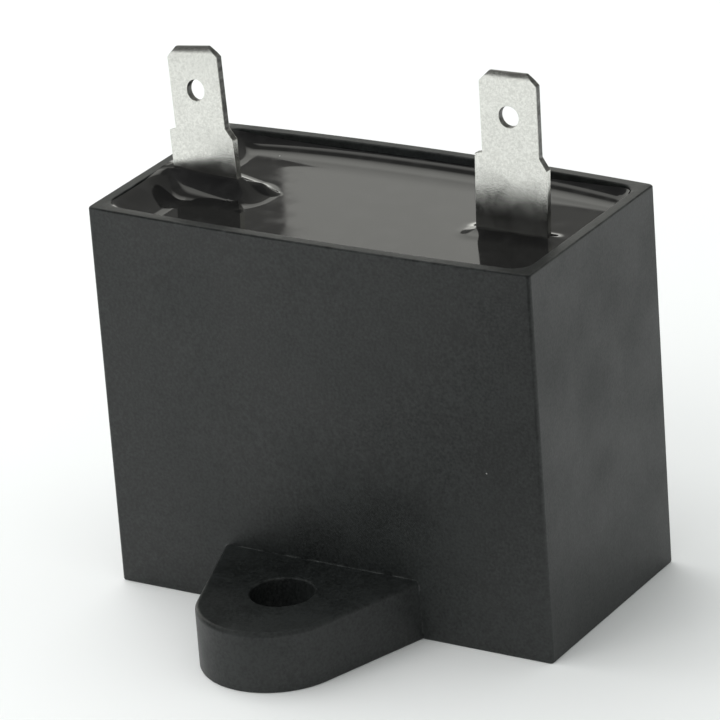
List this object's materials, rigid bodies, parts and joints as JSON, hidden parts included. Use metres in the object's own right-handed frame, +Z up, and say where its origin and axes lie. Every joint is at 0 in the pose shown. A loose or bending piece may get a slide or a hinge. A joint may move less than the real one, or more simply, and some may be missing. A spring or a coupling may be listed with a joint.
{
  "type": "motor run capacitor",
  "caption": "Box motor run capacitor with a fixing ear, black resin fill and two push-on blade terminals",
  "frame": {"origin": "the middle of the box's underside, on the surface that the part stands on", "axes": "+Z up out of the box along the blades, +X along the box's long side towards the right-hand blade, -Y towards the fixing ear"},
  "size_m": [0.0506, 0.0437, 0.0562],
  "materials": {
    "case_plastic": "fine spark-eroded grain, matt",
    "resin": "glossy, cast",
    "tinned_blade": "satin tin plating",
    "metallised_film": "smooth silvery film",
    "sprayed_zinc": "rough sprayed metal",
    "tinned_wire": "bright tin plating",
    "solder": "satin solder"
  },
  "bodies": {
    "root": {"case": "case_plastic", "potting_resin": "resin", "terminal_left": "tinned_blade", "terminal_right": "tinned_blade", "film_winding": "metallised_film", "end_spray_left": "sprayed_zinc", "end_spray_right": "sprayed_zinc", "lead_wire_left": "tinned_wire", "lead_wire_right": "tinned_wire", "end_solder_left": "solder", "end_solder_right": "solder", "leg_solder_left": "solder", "leg_solder_right": "solder"}
  },
  "joints": []
}
